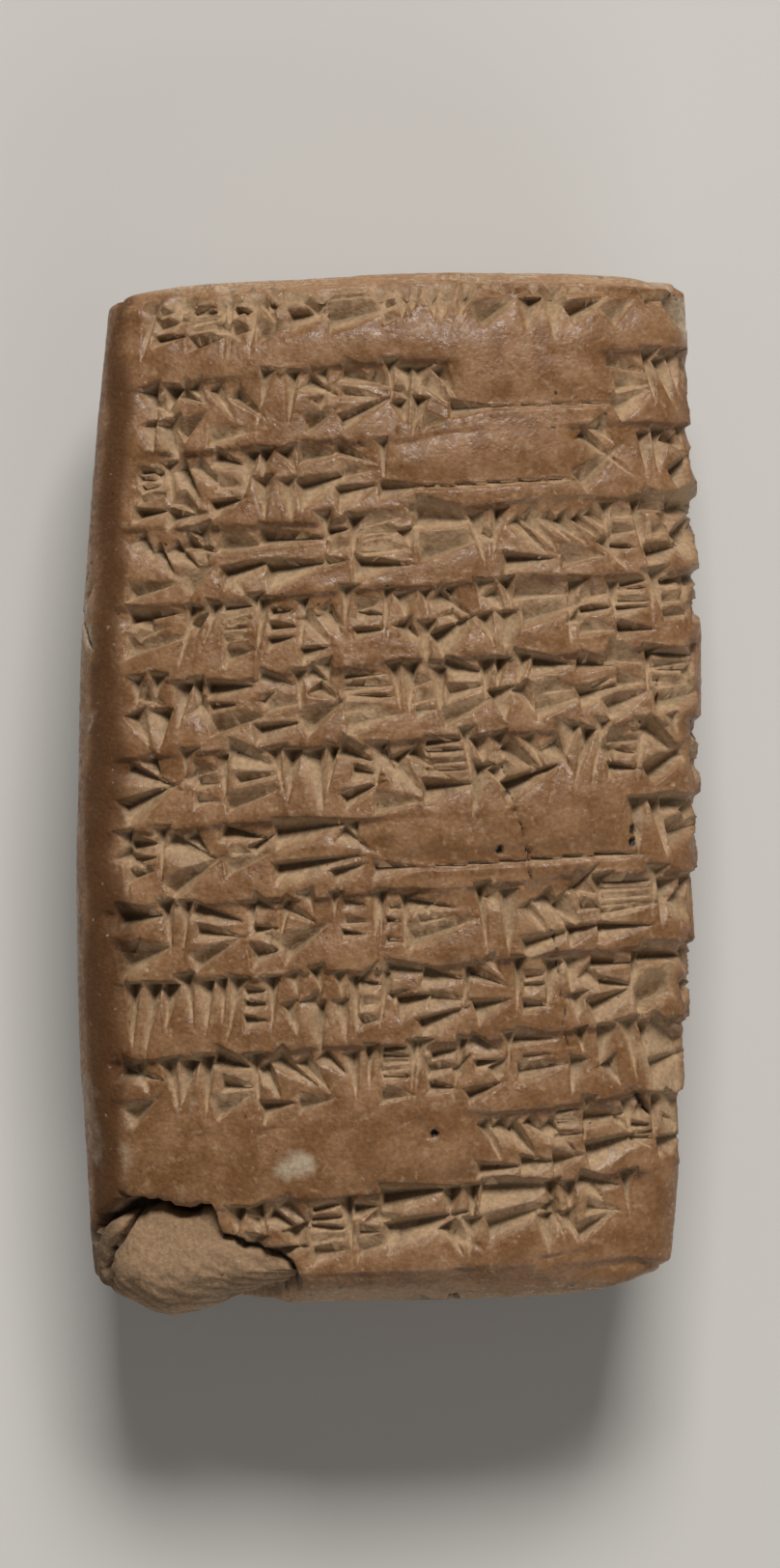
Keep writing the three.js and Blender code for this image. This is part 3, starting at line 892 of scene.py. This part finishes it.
# The layer, width, amount and rise of lines that come again.
SCRATCH = ("pale", 0.06, 0.55)
HAIRLINE = ("pale", 0.11, 0.8, 0.03)
SEAM = ("pale", 0.1, 0.9, 0.04)
TORN_SKIN = [(-12.6, -21.3, 12.9), (-13.5, -22.2, 12.3), (-13.9, -23.4, 11.5), (-14.2, -24.8, 10.4)]
CURVED_CRACK = [(12.1, 5.0), (10.6, 6.6), (9.7, 7.3), (8.8, 9.0), (8.5, 11.1), (10.2, 12.5)]
UPPER_RIDGE = [(-9.1, 6.7), (-4.0, 5.5), (0.2, 5.0), (5.3, 5.7), (12.9, 7.1)]

OBVERSE_MARKS = [
    (crack, [(5.4, 1.6, 15.4), (6.1, -0.4, 15.4), (6.7, -2.6, 15.3), (7.2, -5.6, 15.2)], 0.05, 0.3),
    (crack, [(8.3, -6.8, 15.1), (8.6, -8.6, 15), (9.0, -12.5, 14.7), (9.5, -15.4, 14.4)], 0.04, 0.15),
    (crack, [(-3.2, 18.6, 15), (-2.0, 17.6, 15), (-1.1, 16.3, 15)], 0.05, 0.2),
    (crack, [(13.7, 5.4, 13.4), (13.8, 4.6, 13.3), (13.7, 3.8, 13.4)], 0.09, 0.5),
    (crack, [(12.4, -15.2, 13.7), (13.0, -16.0, 13.3), (13.7, -16.8, 12.6)], 0.14, 0.6),
    (crack, TORN_SKIN, 0.16, 1.1),
    (crack, [(-13.9, -20.6, 12.6), (-13.1, -20.9, 12.8), (-12.4, -20.8, 13.0)], 0.12, 0.6),
    (pit, [(5.4, -3.3, 15)], 0.2, 0.3),
    (pit, [(12.6, -2.3, 15)], 0.28, 0.3),
    (pit, [(12.5, -2.9, 15)], 0.24, 0.3),
    (pit, [(2.2, -17.5, 15)], 0.2, 0.3),
    (pit, [(-15.5, -23.0, 10.6)], 0.32, 0.8),
    (pit, [(-15.3, -24.5, 9.3)], 0.34, 0.8),
    (line, [(11.0, -1.2, 15), (10.2, -2.2, 15), (8.9, -3.9, 15)], *SCRATCH),
    (line, [(0.4, -3.6, 15), (1.4, -4.4, 15), (2.0, -4.9, 15)], *SCRATCH),
    (line, [(3.4, -1.2, 15), (4.4, -1.9, 15), (5.0, -3.1, 15)], *SCRATCH),
    (line, [(-10.6, -15.0, 14), (-9.6, -16.2, 14), (-8.9, -17.9, 14)], *SCRATCH),
    (line, [(2.6, -15.2, 14.4), (4.4, -16.4, 14.3), (5.2, -18.0, 14)], *SCRATCH),
    (line, [(6.0, 17.0, 15), (7.4, 15.8, 15), (8.1, 14.6, 15)], *SCRATCH),
    (line, [(-13.4, -16.4, 13), (-13.2, -18.2, 13), (-13.5, -20.3, 12.6)], "pale", 0.12, 0.5),
    (patch, [(-5.2, -19.1, 14.5), (-4.1, -18.9, 14.5)], "pale", 0.6, 0.75),
]
LEFT_EDGE_MARKS = [
    (crack, CURVED_CRACK, 0.13, 0.5, 0.7),
    (crack, [(-23.3, 10.0), (-23.7, 9.4), (-23.5, 8.8)], 0.12, 0.6, 0.6),
    (crack, [(-24.1, 10.0), (-24.4, 9.2), (-24.3, 8.4)], 0.16, 0.8, 0.5),
    (crack, [(8.5, 11.1), (7.9, 11.8), (6.6, 13.5)], 0.1, 0.3, 0.6),
    (pit, [(8.85, 9.0)], 0.36, 0.9),
    (line, [(7.6, 11.1), (5.9, 10.3), (4.1, 9.2)], "pale", 0.28, 0.75),
    (line, CURVED_CRACK[2:5], "pale", 0.55, 0.6, 0.05),
    (line, [(-7.4, 4.6), (-7.3, 7.0), (-7.9, 8.6), (-8.2, 11.2)], *HAIRLINE),
    (line, [(-9.4, 9.5), (-9.4, 11.1), (-9.7, 12.9)], *HAIRLINE),
    (line, [(-5.6, 8.0), (-6.8, 7.2), (-7.9, 6.9)], *HAIRLINE),
    (line, [(-0.9, 9.5), (-2.2, 11.2), (-2.8, 12.4)], *HAIRLINE),
    (line, [(4.9, 12.2), (3.4, 13.0), (2.2, 12.8)], *HAIRLINE),
    (patch, [(23.2, 8.4), (22.4, 9.6)], "pale", 1.3, 0.25),
    (patch, [(-13.6, 9.4), (-16.2, 10.0)], "pale", 1.2, 0.4),
    (patch, [(-15.0, 12.0), (-18.6, 12.6)], "pale", 0.6, 0.45),
    (patch, [(-19.4, 8.2), (-20.2, 8.6)], "pale", 0.9, 0.4),
    (patch, [(20.6, 12.2), (15.2, 11.6)], "prints", 3.2, 1),
    (patch, [(-16.4, 6.0), (-20.4, 6.6)], "prints", 2.4, 0.8),
]
RIGHT_EDGE_MARKS = [
    (crack, [(-10.2, 8.4), (-10.3, 5.0), (-7.0, 4.7), (-7.5, 2.9)], 0.08, 0.5),
    (crack, [(-7.0, 4.7), (-4.0, 4.9)], 0.07, 0.4),
    (crack, [(-23.2, 9.3), (-23.8, 7.2), (-23.5, 5.8)], 0.1, 0.5),
    (crack, [(-14.3, 8.6), (-14.9, 6.4), (-14.4, 4.4)], 0.12, 0.6),
    (crack, [(22.7, 9.6), (22.3, 7.4), (24.3, 6.9)], 0.12, 0.4),
    (line, [(-10.5, 5.0), (-12.2, 6.6), (-13.7, 9.3)], *SEAM),
    (line, [(-10.5, 4.2), (-12.2, 4.4), (-13.9, 5.0)], *SEAM),
    (line, [(19.3, 11.2), (19.3, 8.0), (19.2, 4.9)], "pale", 0.12, 0.9, 0.04),
    (line, [(15.7, 11.4), (15.6, 9.0)], "pale", 0.1, 0.8, 0.04),
    (line, [(4.9, 11.3), (5.2, 9.0), (5.3, 7.2)], "pale", 0.12, 0.8, 0.04),
    (line, [(18.6, 8.2), (16.4, 6.2)], "pale", 0.07, 0.6),
    (patch, [(23.6, 10.0), (23.4, 6.9)], "pale", 1.5, 0.7),
    (patch, [(-21.4, 11.6), (-24.6, 9.0)], "prints", 3.4, 1),
    (chip, [(-11.6, 2.4), (-13.4, 2.2)], 1.1, 0.8),
]
UPPER_END_MARKS = [
    (line, UPPER_RIDGE, "pale", 0.42, 0.55, 0.14),
    (line, [(-3.5, 4.2), (0.5, 3.8), (4.5, 4.4)], "dark", 0.4, 0.35),
    (patch, [(-2.5, 6.6), (3.5, 6.8)], "dark", 1.8, 0.22),
    (patch, [(-13.0, 8.6), (-9.5, 9.6)], "pale", 1.6, 0.35),
]
LOWER_END_MARKS = [
    (crack, [(-4.0, 7.9), (-2.4, 8.1), (-0.6, 7.8)], 0.09, 0.4, 0.3),
    (crack, [(-3.7, 6.3), (-3.6, 7.0)], 0.12, 0.4),
    (pit, [(3.2, 12.2)], 0.3, 0.5),
    (line, [(-13.6, 8.4), (-11.0, 11.4), (-7.6, 13.2)], "pale", 0.3, 0.5),
    (line, [(-0.4, 7.9), (4.0, 7.6), (9.0, 8.2)], "pale", 0.12, 0.6, 0.04),
    (patch, [(-2.6, 6.4), (0.4, 6.9), (3.6, 6.4)], "pale", 0.9, 0.35),
]
REVERSE_MARKS = [
    (crack, [(15.0, -6.9, 2.0), (13.4, -4.3, 1.0), (12.0, -2.4, 0.6), (9.7, 1.6, 0.3)], 0.1, 0.6, 0.2),
    (chip, [(-10.2, 26, 4.0), (-7.6, 26, 3.6)], 1.2, 0.6),
    (crumble, [(15, -16.8, 3.4), (15, -21.4, 3.6)], 1.3, 0.3),
    (crumble, [(-13.8, 24.6, 4.0), (-11.8, 24.2, 3.6)], 1.7, 0.45),
]


def age_side(wear, marks, axis=None, level=0):
    """Makes a side's marks. An upright side faces an axis, along which level is just beyond it."""
    for make, places, *sizes in marks:
        if axis is not None:
            places = [np.insert(place, axis, level) for place in places]
        make(wear, places, *sizes)


def age_all(skin, wear):
    """All the damage, with the finger marks kept to the upright sides."""
    break_corner(skin, wear)
    age_side(wear, OBVERSE_MARKS)
    age_side(wear, LEFT_EDGE_MARKS, 0, -BEYOND_SIDES)
    age_side(wear, RIGHT_EDGE_MARKS, 0, BEYOND_SIDES)
    age_side(wear, UPPER_END_MARKS, 1, BEYOND_ENDS)
    age_side(wear, LOWER_END_MARKS, 1, -BEYOND_ENDS)
    age_side(wear, REVERSE_MARKS)
    wear.layers["prints"] *= ramp(np.abs(skin.normal[:, 0]), 0.75, 0.95)


LOWER_RIDGE_LEVEL = 11.9
LOWER_FACET_LEVEL = 7.4
UPPER_ARC_LEVEL = 5.0
UPPER_ARC_CURVE = 0.011
RIM_WEAR = 0.12


def shape_ends(skin):
    """The soft facets that fingers left on the two ends, and the wear of their rims."""
    x, y, z = skin.base.T
    upright = np.abs(skin.normal[:, 1])
    waver = 0.6 * SWELL.layered(skin.base, 5, 2)
    ridge = bell(z - LOWER_RIDGE_LEVEL + waver, 0.8)
    below = ramp(LOWER_FACET_LEVEL - z + 0.08 * x + waver, 0, 2.4)
    slant = ramp(0.78 * (z - 8.4) - 0.62 * (x + 13.6), -0.2, 1.0)
    right = ramp(x, 11.0, 13.6)
    lower_end = ramp(-skin.normal[:, 1], 0.55, 0.85)
    skin.height += lower_end * (0.42 * ridge - 0.5 * below - 0.4 * slant - 0.15 * right)
    arc = UPPER_ARC_LEVEL + UPPER_ARC_CURVE * (x - 0.2) ** 2 + 0.3 * waver
    past = ramp(arc - z, 0, 1.8)
    hollow = bell(z - arc - 2.4, 1.8)
    upper_end = ramp(skin.normal[:, 1], 0.55, 0.85)
    skin.height -= upper_end * (0.55 * past + 0.3 * hollow)
    rim = ramp(upright, 0.15, 0.5) * (1 - ramp(upright, 0.75, 0.97))
    skin.height -= rim * (RIM_WEAR + 0.1 * SWELL.layered(skin.base, 3.0, 2))
    upright_corner = ramp(np.minimum(upright, np.abs(skin.normal[:, 0])), 0.25, 0.6)
    skin.height -= upright_corner * (RIM_WEAR + 0.08 * SWELL.at(skin.base, 2.0))


LOWER_END_TONE = 0.6
UPPER_END_TONE = 0.45
LEFT_EDGE_TONE = 0.3
REVERSE_TONE = -0.6
# The obverse's left margin is darkened as painted shade, where it rounds over to the left side.
MARGIN_PAINTED_SHADE = -0.95
MARGIN_SHADE_BORDER = (12.6, 14.0)  # where the painted shade on the obverse's left margin sets in


def clay_tone_and_painted_shade(skin):
    """How pale (above 0) or dark (below 0) the clay is from place to place, with painted shade
    darkening the obverse's left margin.
    """
    x, y, z = skin.base.T
    facing = skin.normal
    tone_and_painted_shade = 0.22 * SWELL.layered(skin.base, 9.0, 2)
    middle = 0.5 + 0.5 * bell(z - 9.5, 2.8)
    tone_and_painted_shade += LOWER_END_TONE * middle * ramp(-facing[:, 1], 0.75, 0.96)
    tone_and_painted_shade += UPPER_END_TONE * middle * ramp(facing[:, 1], 0.75, 0.96)
    tone_and_painted_shade += LEFT_EDGE_TONE * ramp(-facing[:, 0], 0.6, 0.9)
    under = ramp(-facing[:, 2], 0.2, 0.6)
    tone_and_painted_shade += under * (REVERSE_TONE - 0.15 * ramp(y, -5, 10))
    uneven = 0.7 * SWELL.layered(skin.base, 3.5, 2)
    # Painted shade on the obverse's left margin, kept off the left side itself.
    margin = ramp(-x + uneven, *MARGIN_SHADE_BORDER) * ramp(facing[:, 2], 0.0, 0.45)
    tone_and_painted_shade += MARGIN_PAINTED_SHADE * margin * (1 - ramp(-facing[:, 0] + 0.15 * uneven, 0.7, 1.0))
    return tone_and_painted_shade


# ---- The mesh ----

SWELL_RISE = 0.1
SMEAR_RISE = 0.14
GRAIN_RISE = 0.018


def add_object(name, data):
    added = bpy.data.objects.new(name, data)
    bpy.context.scene.collection.objects.link(added)
    return added


def thinned_mesh(skin, points):
    """A mesh of the fine grid's points, with most of them taken out where the clay is smooth."""
    dense = bpy.data.meshes.new("dense")
    dense.vertices.add(len(points))
    dense.vertices.foreach_set("co", (points * MM).astype(np.float32).ravel())
    count = len(skin.faces)
    dense.loops.add(4 * count)
    dense.loops.foreach_set("vertex_index", skin.faces.astype(np.int32).ravel())
    dense.polygons.add(count)
    dense.polygons.foreach_set("loop_start", np.arange(0, 4 * count, 4, dtype=np.int32))
    dense.update(calc_edges=True)
    holder = add_object("dense", dense)
    thin = holder.modifiers.new("thin", "DECIMATE")
    thin.ratio = KEPT_TRIANGLES / (2 * count)
    graph = bpy.context.evaluated_depsgraph_get()
    mesh = bpy.data.meshes.new_from_object(holder.evaluated_get(graph))
    bpy.data.objects.remove(holder)
    bpy.data.meshes.remove(dense)
    mesh.name = "tablet"
    return mesh


def carry_attributes(mesh, points, attributes):
    """Gives each kept point the values of the nearest fine point."""
    tree = kdtree.KDTree(len(points))
    for index, point in enumerate(points * MM):
        tree.insert(point, index)
    tree.balance()
    nearest = np.array([tree.find(vertex.co)[1] for vertex in mesh.vertices])
    for name, values in attributes.items():
        layer = mesh.attributes.new(name, "FLOAT", "POINT")
        layer.data.foreach_set("value", values[nearest].astype(np.float32))


def make_tablet():
    skin = Skin()
    skin.height += SWELL_RISE * SWELL.layered(skin.base, 6.5, 2)
    on_ends = ramp(np.abs(skin.normal[:, 1]), 0.6, 0.9)
    smeared = SWELL.layered(skin.base * np.array([0.22, 1, 1]), 2.2, 2)
    skin.height += SMEAR_RISE * on_ends * smeared
    shape_ends(skin)
    plain = skin.height.copy()
    sunk = press_all(skin)
    pressed = ramp(plain - skin.height - sunk, 0.03, 0.14)
    wear = Wear(skin)
    age_all(skin, wear)
    skin.height += GRAIN_RISE * GRAIN.layered(skin.base, 0.5, 2)
    crest = skin.height - skin.blurred(skin.height, 0.22)
    around = ramp(skin.blurred(pressed, 0.4), 0.3, 0.6)
    pressed = np.maximum(pressed, 0.75 * around) * (1 - 0.6 * ramp(crest, 0.06, 0.18))
    pressed *= 1 - wear.layers["broken"]
    hollow = ramp(skin.blurred(skin.height, 0.5) - skin.height, 0.08, 0.4)
    points = skin.base + skin.normal * skin.height[:, None]
    points[:, 2] = np.maximum(points[:, 2], 0)
    mesh = thinned_mesh(skin, points)
    layers = {
        "pressed": pressed,
        "hollow": hollow,
        "tone_and_painted_shade": clay_tone_and_painted_shade(skin),
        **wear.layers,
    }
    carry_attributes(mesh, points, layers)
    mesh.shade_smooth()
    return add_object("tablet_clay", mesh)


# ---- Material ----

# The finest relief, in millimetres.
GRAIN_DEPTH = 0.045
CORE_DEPTH = 0.14
RIDGE_DEPTH = 0.03
RIDGE_PITCH = 0.52
STREAK_DEPTH = 0.06

# Linear colours.
SKIN_BROWN = (0.215, 0.1, 0.038, 1)
SKIN_LIGHT = (0.32, 0.17, 0.08, 1)
PRESSED_TAN = (0.46, 0.31, 0.18, 1)
# A darker grey-brown, painted as shade in the hollows.
HOLLOW_SHADE_GREY = (0.235, 0.165, 0.095, 1)
CORE_TAN = (0.365, 0.235, 0.135, 1)
# Dark brown, both for darker clay and for painted shade on the obverse's left margin.
DARK_CLAY_AND_PAINTED_SHADE = (0.1, 0.037, 0.006, 1)
EDGE_TAN = (0.47, 0.315, 0.185, 1)
PALE_CRUST = (0.6, 0.5, 0.37, 1)
DEPOSIT = (0.03, 0.02, 0.011, 1)
SPOT_GREY = (0.085, 0.078, 0.066, 1)
GRAIN_SHADE = (0.6, 0.56, 0.5, 1)


class ClayNodes:
    """Short ways to make the shader's nodes. A value is a socket or a plain number."""

    def __init__(self, material):
        self.tree = material.node_tree
        self.shader = self.tree.nodes["Principled BSDF"]
        self.place = self.tree.nodes.new("ShaderNodeTexCoord").outputs["Object"]

    def feed(self, socket, value):
        if isinstance(value, bpy.types.NodeSocket):
            self.tree.links.new(value, socket)
        else:
            socket.default_value = value

    def node(self, kind, settings, inputs):
        made = self.tree.nodes.new("ShaderNode" + kind)
        for name, value in settings.items():
            setattr(made, name, value)
        for name, value in inputs.items():
            self.feed(made.inputs[name], value)
        return made

    def attribute(self, name):
        return self.node("Attribute", {"attribute_name": name}, {}).outputs["Fac"]

    def noise(self, size, detail=2.0, stretch=(1, 1, 1)):
        """Noise whose features are about size millimetres across."""
        place = self.node("Mapping", {}, {"Vector": self.place, "Scale": stretch}).outputs["Vector"]
        inputs = {"Vector": place, "Scale": 1 / (size * MM), "Detail": detail}
        return self.node("TexNoise", {}, inputs).outputs["Fac"]

    def ramp(self, value, low, high, start=0.0, end=1.0):
        limits = {"From Min": low, "From Max": high, "To Min": start, "To Max": end}
        smooth = {"interpolation_type": "SMOOTHSTEP"}
        return self.node("MapRange", smooth, {"Value": value, **limits}).outputs["Result"]

    def maths(self, operation, one, other):
        return self.node("Math", {"operation": operation}, {0: one, 1: other}).outputs["Value"]

    def times(self, one, other):
        return self.maths("MULTIPLY", one, other)

    def mix(self, factor, one, other, blend="MIX"):
        settings = {"data_type": "RGBA", "blend_type": blend}
        inputs = {"Factor": factor, "A": one, "B": other}
        return self.node("Mix", settings, inputs).outputs["Result"]


def clay_colour(nodes):
    pressed = nodes.attribute("pressed")
    tone_and_painted_shade = nodes.attribute("tone_and_painted_shade")
    hollow = nodes.attribute("hollow")
    broken = nodes.attribute("broken")
    patches = nodes.noise(1.6, 4)
    grain = nodes.noise(0.22, 3)
    colour = nodes.mix(nodes.ramp(patches, 0.35, 0.7), SKIN_BROWN, SKIN_LIGHT)
    dusting = nodes.ramp(nodes.noise(0.5, 5), 0.56, 0.74, 0, 0.5)
    colour = nodes.mix(dusting, colour, PRESSED_TAN)
    even = nodes.ramp(patches, 0.25, 0.6, 0.7, 1)
    colour = nodes.mix(nodes.times(pressed, even), colour, PRESSED_TAN)
    colour = nodes.mix(nodes.ramp(tone_and_painted_shade, 0.05, 0.8, 0, 0.85), colour, EDGE_TAN)
    # Below zero the tone turns the clay dark brown: darker clay, and painted shade on the obverse's
    # left margin.
    colour = nodes.mix(nodes.ramp(tone_and_painted_shade, -0.05, -0.9, 0, 0.9), colour, DARK_CLAY_AND_PAINTED_SHADE)
    # Painted shade in the hollows, uneven in patches.
    hollow_shade = nodes.times(nodes.ramp(hollow, 0.1, 0.9, 0, 0.75), nodes.ramp(patches, 0.2, 0.7, 0.5, 1))
    colour = nodes.mix(hollow_shade, colour, HOLLOW_SHADE_GREY)
    colour = nodes.mix(nodes.times(broken, 0.9), colour, CORE_TAN)
    stains = nodes.ramp(nodes.noise(0.9, 6), 0.6, 0.72, 0, 0.55)
    deposit = nodes.times(stains, nodes.ramp(tone_and_painted_shade, 0.1, -0.5, 0.12, 1))
    colour = nodes.mix(nodes.times(deposit, nodes.ramp(hollow, 0.0, 0.5, 0.35, 1)), colour, DEPOSIT)
    scuffs = nodes.ramp(nodes.noise(0.35, 4), 0.66, 0.78, 0, 0.5)
    colour = nodes.mix(scuffs, colour, PALE_CRUST)
    colour = nodes.mix(nodes.attribute("pale"), colour, PALE_CRUST)
    specks = nodes.ramp(nodes.noise(0.42, 1), 0.76, 0.82, 0, 0.8)
    colour = nodes.mix(specks, colour, DEPOSIT)
    on_ends = nodes.ramp(tone_and_painted_shade, 0.15, 0.4)
    browner = nodes.times(nodes.ramp(nodes.noise(2.4, 4), 0.45, 0.68, 0, 0.6), on_ends)
    colour = nodes.mix(browner, colour, SKIN_LIGHT)
    spots = nodes.times(nodes.ramp(nodes.noise(1.1, 1), 0.64, 0.7, 0, 0.6), on_ends)
    colour = nodes.mix(spots, colour, SPOT_GREY)
    for stretch in ((0.08, 1, 1), (1, 1, 0.1), (0.3, 1, 0.3)):
        scratches = nodes.times(nodes.noise(0.12, 2, stretch), nodes.noise(2.0, 2, stretch[::-1]))
        scratches = nodes.times(nodes.ramp(scratches, 0.3, 0.42, 0, 0.4), on_ends)
        colour = nodes.mix(scratches, colour, PALE_CRUST)
    colour = nodes.mix(nodes.attribute("dark"), colour, DEPOSIT)
    shade = nodes.ramp(grain, 0.25, 0.75, 0.0, 0.7)
    return nodes.mix(shade, colour, GRAIN_SHADE, "MULTIPLY")


def clay_relief(nodes):
    """The finest relief: grain, the core, finger ridges and the ends' smoothing streaks."""
    broken = nodes.attribute("broken")
    grain = nodes.times(nodes.noise(0.2, 5), GRAIN_DEPTH)
    rough = nodes.times(nodes.times(nodes.noise(0.5, 6), broken), CORE_DEPTH)
    waves = {
        "Vector": nodes.place,
        "Scale": 2 * math.pi / (20 * RIDGE_PITCH * MM),
        "Distortion": 12,
        "Detail": 2,
        "Detail Scale": 0.35,
    }
    wave = nodes.node("TexWave", {"bands_direction": "Y"}, waves).outputs["Fac"]
    ridges = nodes.times(nodes.times(wave, nodes.attribute("prints")), RIDGE_DEPTH)
    streaks = nodes.noise(0.3, 3, (0.08, 1, 1))
    on_ends = nodes.ramp(nodes.attribute("tone_and_painted_shade"), 0.3, 0.6)
    smoothing = nodes.times(nodes.times(streaks, on_ends), STREAK_DEPTH)
    total = nodes.maths("ADD", nodes.maths("ADD", grain, rough), nodes.maths("ADD", ridges, smoothing))
    return nodes.node("Bump", {}, {"Distance": MM, "Height": total}).outputs["Normal"]


def clay_roughness(nodes):
    pressed = nodes.attribute("pressed")
    broken = nodes.attribute("broken")
    matte = nodes.maths("MAXIMUM", pressed, nodes.maths("MAXIMUM", broken, nodes.attribute("hollow")))
    uneven = nodes.ramp(nodes.noise(0.4, 5), 0.35, 0.65, 0.3, 0.6)
    shaded = nodes.ramp(nodes.attribute("tone_and_painted_shade"), -0.1, -0.6, 0, 0.72)
    return nodes.maths("MAXIMUM", nodes.maths("MAXIMUM", uneven, shaded), nodes.times(matte, 0.85))


def clay_material():
    material = bpy.data.materials.new("clay")
    material.use_nodes = True
    nodes = ClayNodes(material)
    nodes.feed(nodes.shader.inputs["Base Color"], clay_colour(nodes))
    nodes.feed(nodes.shader.inputs["Roughness"], clay_roughness(nodes))
    nodes.feed(nodes.shader.inputs["Normal"], clay_relief(nodes))
    nodes.shader.inputs["Specular IOR Level"].default_value = 0.38
    return material


# ---- Stage ----

# In metres.
FLOOR_CORNERS = [(-1, -1, 0), (1, -1, 0), (1, 1, 0), (-1, 1, 0)]
LIT_PLACE = (0, 0, 0.01)
VIEW_HEIGHT = 0.078


def make_stage():
    floor_mesh = bpy.data.meshes.new("floor")
    floor_mesh.from_pydata(FLOOR_CORNERS, [], [(0, 1, 2, 3)])
    floor = add_object("floor", floor_mesh)
    material = bpy.data.materials.new("floor")
    material.use_nodes = True
    shader = material.node_tree.nodes["Principled BSDF"]
    shader.inputs["Base Color"].default_value = (0.62, 0.6, 0.57, 1)
    shader.inputs["Roughness"].default_value = 0.9
    floor_mesh.materials.append(material)


def area_light(name, place, size, power, colour):
    data = bpy.data.lights.new(name, "AREA")
    data.shape = "RECTANGLE"
    data.size, data.size_y = size
    data.energy = power
    data.color = colour
    light = add_object(name, data)
    light.location = place
    away = np.array(place) - np.array(LIT_PLACE)
    light.rotation_mode = "QUATERNION"
    light.rotation_quaternion = Vector(away).to_track_quat("Z", "Y")


def make_lights():
    area_light("key", (0.1, 0.85, 0.82), (0.5, 0.35), 14.8, (1.0, 0.985, 0.96))
    area_light("fill", (0.35, -0.8, 0.5), (0.6, 0.6), 2.2, (1.0, 0.98, 0.95))
    world = bpy.data.worlds.new("studio")
    world.use_nodes = True
    background = world.node_tree.nodes["Background"]
    background.inputs["Color"].default_value = (1, 0.99, 0.98, 1)
    background.inputs["Strength"].default_value = 0.11
    bpy.context.scene.world = world


def make_camera():
    """A long lens that looks straight down."""
    data = bpy.data.cameras.new("camera")
    data.lens = 150
    data.sensor_width = 36
    data.clip_start = 0.01
    camera = add_object("camera", data)
    distance = VIEW_HEIGHT * data.lens / data.sensor_width
    camera.location = (0, 0, BOX_HIGH[2] * MM + distance)
    bpy.context.scene.camera = camera


tablet = make_tablet()
tablet.data.materials.append(clay_material())
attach(tablet, "root")
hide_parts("tablet")
make_stage()
make_lights()
make_camera()
bpy.context.scene.view_settings.view_transform = "Standard"
